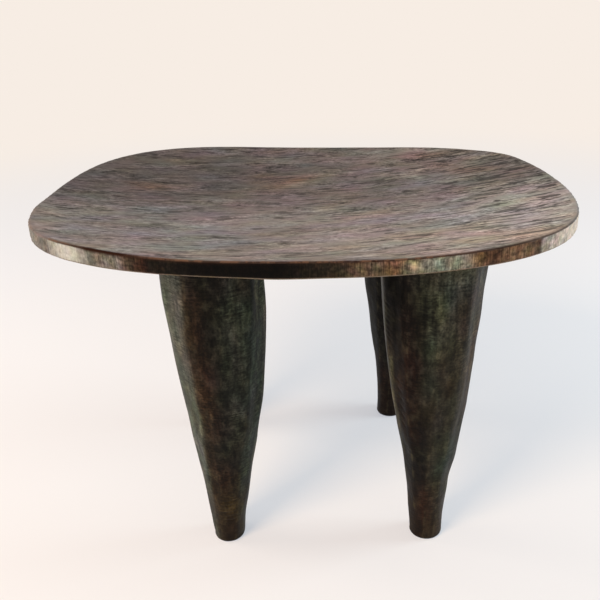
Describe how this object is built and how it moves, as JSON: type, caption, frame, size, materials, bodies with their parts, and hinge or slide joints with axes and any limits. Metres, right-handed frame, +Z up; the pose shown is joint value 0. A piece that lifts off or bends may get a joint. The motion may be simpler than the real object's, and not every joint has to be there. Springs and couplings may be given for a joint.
{
  "type": "carved wooden stool",
  "caption": "Low carved hardwood stool: a dished, rounded-oblong seat slab on stout legs that taper to small round feet.",
  "frame": {"origin": "on the floor under the middle of the seat", "axes": "+X along the seat's length and its grain, +Y to the back, +Z up"},
  "size_m": [0.58, 0.45, 0.386],
  "materials": {
    "seat_wood": "dark brown hardwood, adzed and worn to a soft waxed sheen",
    "leg_wood": "near-black brown hardwood with soft adze flats and a semi-gloss patina",
    "wedge_wood": "bare split hardwood, hidden in the joint"
  },
  "bodies": {
    "root": {"seat": "seat_wood", "leg_front_left": "leg_wood", "leg_front_right": "leg_wood", "leg_rear_left": "leg_wood", "leg_rear_right": "leg_wood", "wedge_front_left": "wedge_wood", "wedge_front_right": "wedge_wood", "wedge_rear_left": "wedge_wood", "wedge_rear_right": "wedge_wood"}
  },
  "joints": []
}
